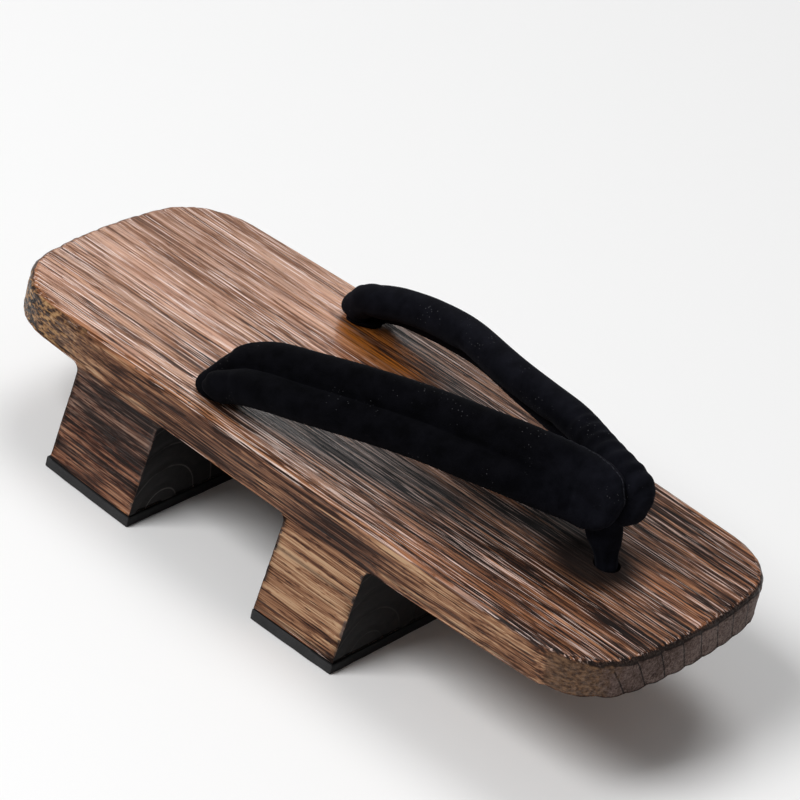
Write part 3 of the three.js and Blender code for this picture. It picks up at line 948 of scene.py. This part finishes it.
def strap_frame(t, name):
    """The strap's middle line in mm, the run along it, and its ways ahead and out of its face."""
    line = middle_line(t)
    run = np.concatenate([[0], np.cumsum(np.linalg.norm(np.diff(line, axis=0), axis=1))])
    line = line + rising(run, *REAR_SPAN)[:, None] * np.array(REAR_SHIFT[name])
    line = line + rising(run, *NOSE_SPAN)[:, None] * np.array(NOSE_SHIFT[name])
    ahead = unit(np.gradient(line, axis=0))
    tilt = np.radians(along(STRAP, "tilt", t))
    face = np.stack([np.sin(tilt), 0 * tilt, np.cos(tilt)], axis=-1)
    face = unit(face - (face * ahead).sum(-1, keepdims=True) * ahead)
    return line, run, ahead, face


def rounded_tip(line, ahead, last_ring):
    """Rings that close the strap's end, shrinking to a point."""
    tip = []
    for i in range(1, TIP_RINGS + 1):
        turn = 0.5 * np.pi * i / TIP_RINGS
        middle = line[-1] + ahead[-1] * TIP_LENGTH * math.sin(turn)
        tip.append(middle + (last_ring - line[-1]) * math.cos(turn))
    return np.array(tip)


def strap_points(side, name):
    """Grid of points in mm, one row for each section."""
    t = np.linspace(0, 1, (len(STRAP) - 1) * STEPS_PER_ROW + 1)
    line, run, ahead, face = strap_frame(t, name)
    across = np.cross(ahead, face)
    half = along(STRAP, "half", t)[:, None]
    thick = along(STRAP, "thick", t)[:, None]
    angle = 2 * np.pi * np.arange(SECTION_STEPS) / SECTION_STEPS
    u = np.cos(angle)[None, :]
    which = np.sign(np.sin(angle) + 1e-9)[None, :]  # 1 on the outer face, -1 on the inner face
    v = which * roll_height(np.abs(u), ROLL_REACH + SEAM_FADE * rising(run, *SEAM_ENDS)[:, None])
    pressed = crease_depth(CREASES[name], run[:, None], u, which, half)
    shrink = 1 - pucker_depth(run[:, None], u, name) / half
    lumps = padding_lumps(run, angle, side)
    height = v * (thick + LUMP_HEIGHT * lumps) - which * pressed * np.sqrt(np.abs(v))
    points = line[:, None, :] + (half * shrink * u)[..., None] * across[:, None, :]
    points = points + height[..., None] * face[:, None, :]
    points = np.concatenate([points, rounded_tip(line, ahead, points[-1])])
    points[..., 0] *= side
    points[..., 2] = np.maximum(points[..., 2], LEAST_HEIGHT) + 1000 * BOARD_TOP
    return points, run[-1]


def tube_mesh(name, points, material):
    """A closed tube through rings of points in mm."""
    rings, count = points.shape[:2]
    bm = bmesh.new()
    verts = [[bm.verts.new(MM * Vector(p)) for p in ring] for ring in points]
    for a, b in zip(verts, verts[1:]):
        for i in range(count):
            j = (i + 1) % count
            bm.faces.new((a[i], a[j], b[j], b[i]))
    bm.faces.new(verts[0][::-1])
    bm.faces.new(verts[-1])
    bmesh.ops.remove_doubles(bm, verts=bm.verts, dist=0.002 * MM)
    bmesh.ops.recalc_face_normals(bm, faces=bm.faces)
    return show(bm, name, [material])


# %% Two straps
for side, name in ((1, "right"), (-1, "left")):
    points, length = strap_points(side, name)
    strap = tube_mesh("strap_" + name, points, black_velvet)
    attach(strap, "root")
    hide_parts("straps")
    if name == "right":
        right_edge = points[:, SECTION_STEPS // 2]
    print(strap.name, "length, mm:", round(length), "faces:", len(strap.data.polygons))

# %% [markdown]
# ## A painted sheen line at the nose
# Where the right strap is sewn over the left one, its upper edge is folded sharply, and the pile along that
# fold catches the light as a thin grey line. That sheen is painted: drawn into the velvet it would need its
# own map, so it is a thin thread of mesh instead, laid on the strap's own edge, and it thins out towards the
# heel.

# %% Swept tubes and the painted sheen line
def swept(line, radius, sides=20):
    """Rings round a line of points in mm, each turned as little as can be from the one before."""
    ahead = unit(np.gradient(line, axis=0))
    out = np.cross(ahead[0], (0.3, 0.5, 0.8))
    angle = 2 * np.pi * np.arange(sides) / sides
    size = np.broadcast_to(radius, len(line))
    rings = []
    for middle, along_line, wide in zip(line, ahead, size):
        out = unit(out - np.dot(out, along_line) * along_line)
        other = np.cross(along_line, out)
        rings.append(middle + wide * (np.cos(angle)[:, None] * out + np.sin(angle)[:, None] * other))
    return np.array(rings)


def painted_sheen_line():
    material, tree, shader = new_material("painted velvet sheen")
    here = put(tree, "ShaderNodeTexCoord").outputs
    sheen_mottle = noise_at(tree, here["Object"], 1500, 2, 0.6)
    base = ramp(tree, sheen_mottle, [(0.40, (0.006, 0.006, 0.009)), (0.62, (0.024, 0.025, 0.031))])
    tree.links.new(base, shader.inputs["Base Color"])
    shader.inputs["Roughness"].default_value = 0.9
    shader.inputs["Specular IOR Level"].default_value = 0.1
    return material


FOLD_FROM = 66  # mm forward of the middle, where the painted sheen line starts
FOLD_RADIUS = 0.24  # mm
FOLD_TAPER = (0.1, 2.6)  # share of that radius at the two ends, of which no more than 1 is used
FOLD_STOP = 2  # rings left out at the very tip, where the edge closes to a point
nose_edge = right_edge[right_edge[:, 1] > FOLD_FROM][:-FOLD_STOP]
nose_radius = FOLD_RADIUS * np.clip(np.linspace(*FOLD_TAPER, len(nose_edge)), 0, 1)
fold = tube_mesh("strap_right_sheen_line", swept(nose_edge, nose_radius, sides=8), painted_sheen_line())
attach(fold, "root")
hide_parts("straps")
# Length of the painted sheen line.
print("painted sheen line, mm:", round(float(np.linalg.norm(np.diff(nose_edge, axis=0), axis=1).sum())))

# %% [markdown]
# ## The thong
# The thong is a short velvet tube over a cord. It comes out from under the nose, leans back a little, and
# is squeezed to a neck where it enters the board, so its cloth folds lengthwise. It is swept like the
# straps, round, with folds that grow deeper towards the neck.

# %% Thong
THONG = table(
    "y z radius fold",
    (87.0, 21.0, 5.4, 0.0),
    (87.6, 15.0, 6.0, 0.2),
    (88.4, 11.0, 6.2, 0.3),
    (89.4, 7.8, 5.9, 0.6),
    (90.6, 5.0, 4.9, 1.0),
    (91.8, 2.4, 4.1, 1.0),
    (92.8, -0.4, 3.8, 0.6),
    (93.0, -3.5, 3.1, 0.3),
)
THONG_FOLDS = 7
FOLD_DEPTH = 0.45
THONG_STEPS = 10  # for each row of the table
THONG_SIDES = 64


def thong_points():
    """Rings of the thong in mm, from under the nose down into the board."""
    t = np.linspace(0, 1, (len(THONG) - 1) * THONG_STEPS + 1)[:, None]
    angle = 2 * np.pi * np.arange(THONG_SIDES)[None, :] / THONG_SIDES
    fold = along(THONG, "fold", t) * FOLD_DEPTH
    wave = np.cos(THONG_FOLDS * angle + 0.8 * np.sin(2 * angle) + 2.5 * t)
    radius = along(THONG, "radius", t) - fold * (0.5 - 0.5 * wave)
    x = radius * np.cos(angle)
    y = along(THONG, "y", t) + radius * np.sin(angle)
    z = along(THONG, "z", t) + 0 * angle + 1000 * BOARD_TOP
    return np.stack([x, y, z], axis=-1)


thong = tube_mesh("thong_tube", thong_points(), black_velvet)
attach(thong, "root")
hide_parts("thong")
print("thong faces:", len(thong.data.polygons))

# %% [markdown]
# ## Cords and knots under the board
# Each strap end and the thong go on through the board as a cord and are knotted below, so that they can't
# be pulled out. An overhand knot with its ends joined is a trefoil: a closed curve that winds twice round
# one way while it winds three times the other. Swept as a tube and flattened, it reads as a tied knot.

# %% Knots
CORD_RADIUS = 2.9  # mm
KNOT_STRAND = 2.0  # mm, the radius of its cord
KNOT_REACH = 1.45  # of the trefoil's own unit, which reaches three units out
KNOT_FLAT = 1.6  # mm that its strands rise and fall
KNOT_DEPTH = 4.4  # mm from a knot's top to its middle
KNOT_GAP = 0.4  # mm under the board
KNOT_AHEAD = 1.2  # mm forward of its hole
CORD_ABOVE = 1.0  # mm that a cord's ends reach past the board
CORD_BELOW = 3.5


def knot_line(x, y, top):
    """A trefoil in mm, lying flat under the board."""
    turn = np.linspace(0, 2 * np.pi, 121)
    px = np.sin(turn) + 2 * np.sin(2 * turn)
    py = np.cos(turn) - 2 * np.cos(2 * turn)
    pz = -np.sin(3 * turn)
    return np.stack([x + KNOT_REACH * px, y + KNOT_REACH * py, top - KNOT_DEPTH + KNOT_FLAT * pz], axis=-1)


for name, (x, y) in HOLES.items():
    node = "thong" if name == "front" else "straps"
    drop = np.linspace(1000 * BOARD_TOP + CORD_ABOVE, LOWER_EDGE - CORD_BELOW, 24)
    cord_line = np.stack([x + 0 * drop, y + 0 * drop, drop], axis=-1)
    cord = tube_mesh("cord_" + name, swept(cord_line, CORD_RADIUS), black_velvet)
    tied = knot_line(x, y + KNOT_AHEAD, LOWER_EDGE - KNOT_GAP)
    knot = tube_mesh("knot_" + name, swept(tied, KNOT_STRAND), black_velvet)
    for piece in (cord, knot):
        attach(piece, "root")
        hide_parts(node)
print("knots:", list(HOLES))
